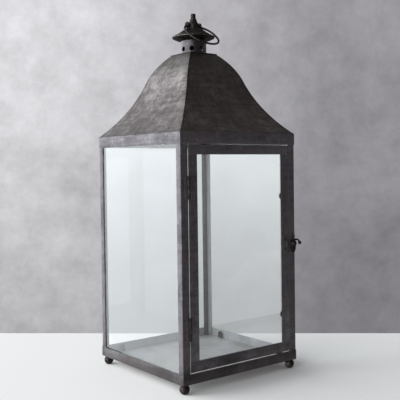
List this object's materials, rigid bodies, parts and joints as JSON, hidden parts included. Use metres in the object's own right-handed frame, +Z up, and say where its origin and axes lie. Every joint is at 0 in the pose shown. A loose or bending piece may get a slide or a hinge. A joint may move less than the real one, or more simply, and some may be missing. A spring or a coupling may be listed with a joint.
{
  "type": "candle lantern",
  "caption": "Square candle lantern in dark patinated sheet metal: glass walls, hinged glazed door with turn latch, bell-shaped roof, vented chimney cap, wire bail and ball feet.",
  "frame": {"origin": "centre of the square of the four feet, on the plane they stand on", "axes": "+Z up; -Y out of the glazed door, which is the front; +X to the right seen from the front, towards the latch"},
  "size_m": [0.2653, 0.2646, 0.6451],
  "materials": {
    "patina_sheet": "matte aged zinc-grey patina with brown bloom and rubbed edges",
    "zinc_tray": "satin dull zinc grey with stains",
    "dark_hardware": "satin near-black, worn on the high spots",
    "clear_glass": "clear polished float glass"
  },
  "bodies": {
    "lantern_body": {"base_tray": "zinc_tray", "foot_front_left": "dark_hardware", "foot_front_right": "dark_hardware", "foot_back_left": "dark_hardware", "foot_back_right": "dark_hardware", "foot_screws": "dark_hardware", "bottom_rail_front": "patina_sheet", "bottom_rail_right": "patina_sheet", "bottom_rail_back": "patina_sheet", "bottom_rail_left": "patina_sheet", "rail_rivets": "dark_hardware", "corner_post_front_left": "patina_sheet", "corner_post_front_right": "patina_sheet", "corner_post_back_left": "patina_sheet", "corner_post_back_right": "patina_sheet", "top_band_front": "patina_sheet", "top_band_right": "patina_sheet", "top_band_back": "patina_sheet", "top_band_left": "patina_sheet", "glass_right": "clear_glass", "glass_back": "clear_glass", "glass_left": "clear_glass", "pane_tabs": "dark_hardware", "roof_panel_front": "patina_sheet", "roof_panel_right": "patina_sheet", "roof_panel_back": "patina_sheet", "roof_panel_left": "patina_sheet", "roof_plate": "patina_sheet", "vent_collar": "patina_sheet", "smoke_cap_lower": "patina_sheet", "smoke_cap_upper": "patina_sheet", "finial": "dark_hardware", "finial_screw": "dark_hardware", "bail_studs": "dark_hardware", "upper_hinge_post_leaf": "dark_hardware", "lower_hinge_post_leaf": "dark_hardware", "upper_hinge_pin": "dark_hardware", "lower_hinge_pin": "dark_hardware", "hinge_post_rivets": "dark_hardware", "latch_plate": "dark_hardware", "latch_plate_screws": "dark_hardware", "latch_pivot": "dark_hardware"},
    "door": {"door_hinge_stile": "patina_sheet", "door_latch_stile": "patina_sheet", "door_top_rail": "patina_sheet", "door_bottom_rail": "patina_sheet", "door_glass": "clear_glass", "door_clips": "dark_hardware", "upper_hinge_door_leaf": "dark_hardware", "lower_hinge_door_leaf": "dark_hardware", "hinge_door_rivets": "dark_hardware", "latch_keeper": "dark_hardware", "latch_keeper_screws": "dark_hardware"},
    "latch": {"latch_lever": "dark_hardware"},
    "bail": {"bail_handle": "dark_hardware"}
  },
  "joints": [
    {"name": "door_hinge", "type": "hinge", "parent": "lantern_body", "child": "door", "pos_m": [-0.11175, -0.129, 0.21925], "axis": [0, 0, -1], "range_deg": [0, 170]},
    {"name": "latch_turn", "type": "hinge", "parent": "lantern_body", "child": "latch", "pos_m": [0.11975, -0.13105, 0.2265], "axis": [0, 1, 0], "range_deg": [0, 90]},
    {"name": "bail_swing", "type": "hinge", "parent": "lantern_body", "child": "bail", "pos_m": [0, 0, 0.62395], "axis": [-1, 0, 0], "range_deg": [0, 256]}
  ]
}
